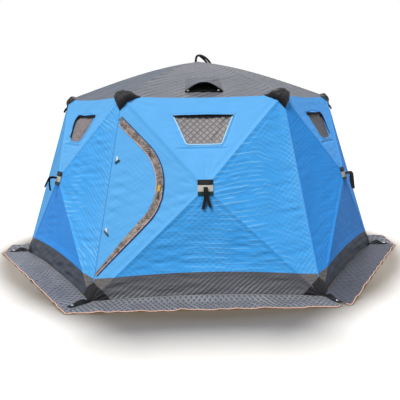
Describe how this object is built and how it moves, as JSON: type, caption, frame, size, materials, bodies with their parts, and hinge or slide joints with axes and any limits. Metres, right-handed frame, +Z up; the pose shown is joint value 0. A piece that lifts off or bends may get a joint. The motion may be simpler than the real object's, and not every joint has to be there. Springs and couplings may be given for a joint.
{
  "type": "ice fishing hut",
  "caption": "Pop-up hexagonal ice fishing shelter: quilted cover over hub-and-pole walls, pitched roof with vent hood, snow skirts and a zipped side-hung door.",
  "frame": {"origin": "on the ground, straight below the roof's peak", "axes": "+Z up, the wall with the door faces -Y, +X to the right seen from the front"},
  "size_m": [4.4754, 3.8828, 2.1164],
  "materials": {
    "wall_cloth": "matt quilted oxford cloth",
    "roof_cloth": "matt quilted oxford cloth",
    "band_cloth": "matt quilted oxford cloth",
    "skirt_cloth": "matt quilted oxford cloth",
    "cap_cloth": "satin heavy cloth",
    "window_cloth": "matt quilted cloth",
    "patch_cloth": "satin heavy cloth",
    "flap_cloth": "matt quilted cloth",
    "seam_bead": "sewn piping",
    "webbing": "woven webbing",
    "mesh": "fine net",
    "pole": "fibreglass rod",
    "hub_plastic": "moulded plastic",
    "zip_pull": "moulded pull",
    "toggle": "moulded toggle"
  },
  "bodies": {
    "shelter": {"roof": "roof_cloth", "door_side_panel": "wall_cloth", "corner_seams": "seam_bead", "top_caps": "cap_cloth", "bottom_caps": "cap_cloth", "window_covers": "window_cloth", "hub_patches": "patch_cloth", "hub_straps": "webbing", "roof_strap": "webbing", "vent_hood": "roof_cloth", "vent_mesh": "mesh", "anchor_straps": "webbing", "roof_poles": "pole", "wall_hubs": "hub_plastic", "roof_hub": "hub_plastic", "top_sockets": "hub_plastic", "bottom_sockets": "hub_plastic", "front_wall": "wall_cloth", "front_band": "band_cloth", "front_skirt": "skirt_cloth", "front_poles": "pole", "front_right_wall": "wall_cloth", "front_right_band": "band_cloth", "front_right_skirt": "skirt_cloth", "front_right_poles": "pole", "back_right_wall": "wall_cloth", "back_right_band": "band_cloth", "back_right_skirt": "skirt_cloth", "back_right_poles": "pole", "back_wall": "wall_cloth", "back_band": "band_cloth", "back_skirt": "skirt_cloth", "back_poles": "pole", "back_left_wall": "wall_cloth", "back_left_band": "band_cloth", "back_left_skirt": "skirt_cloth", "back_left_poles": "pole", "front_left_wall": "wall_cloth", "front_left_band": "band_cloth", "front_left_skirt": "skirt_cloth", "front_left_poles": "pole"},
    "door": {"door_panel": "wall_cloth", "storm_flap": "flap_cloth", "zip_pull": "zip_pull", "door_toggles": "toggle"}
  },
  "joints": [
    {"name": "door_hinge", "type": "hinge", "parent": "shelter", "child": "door", "pos_m": [-0.82963, -1.43695, 0.83731], "axis": [-0.1538, -0.2664, -0.9515], "range_deg": [0, 170]}
  ]
}
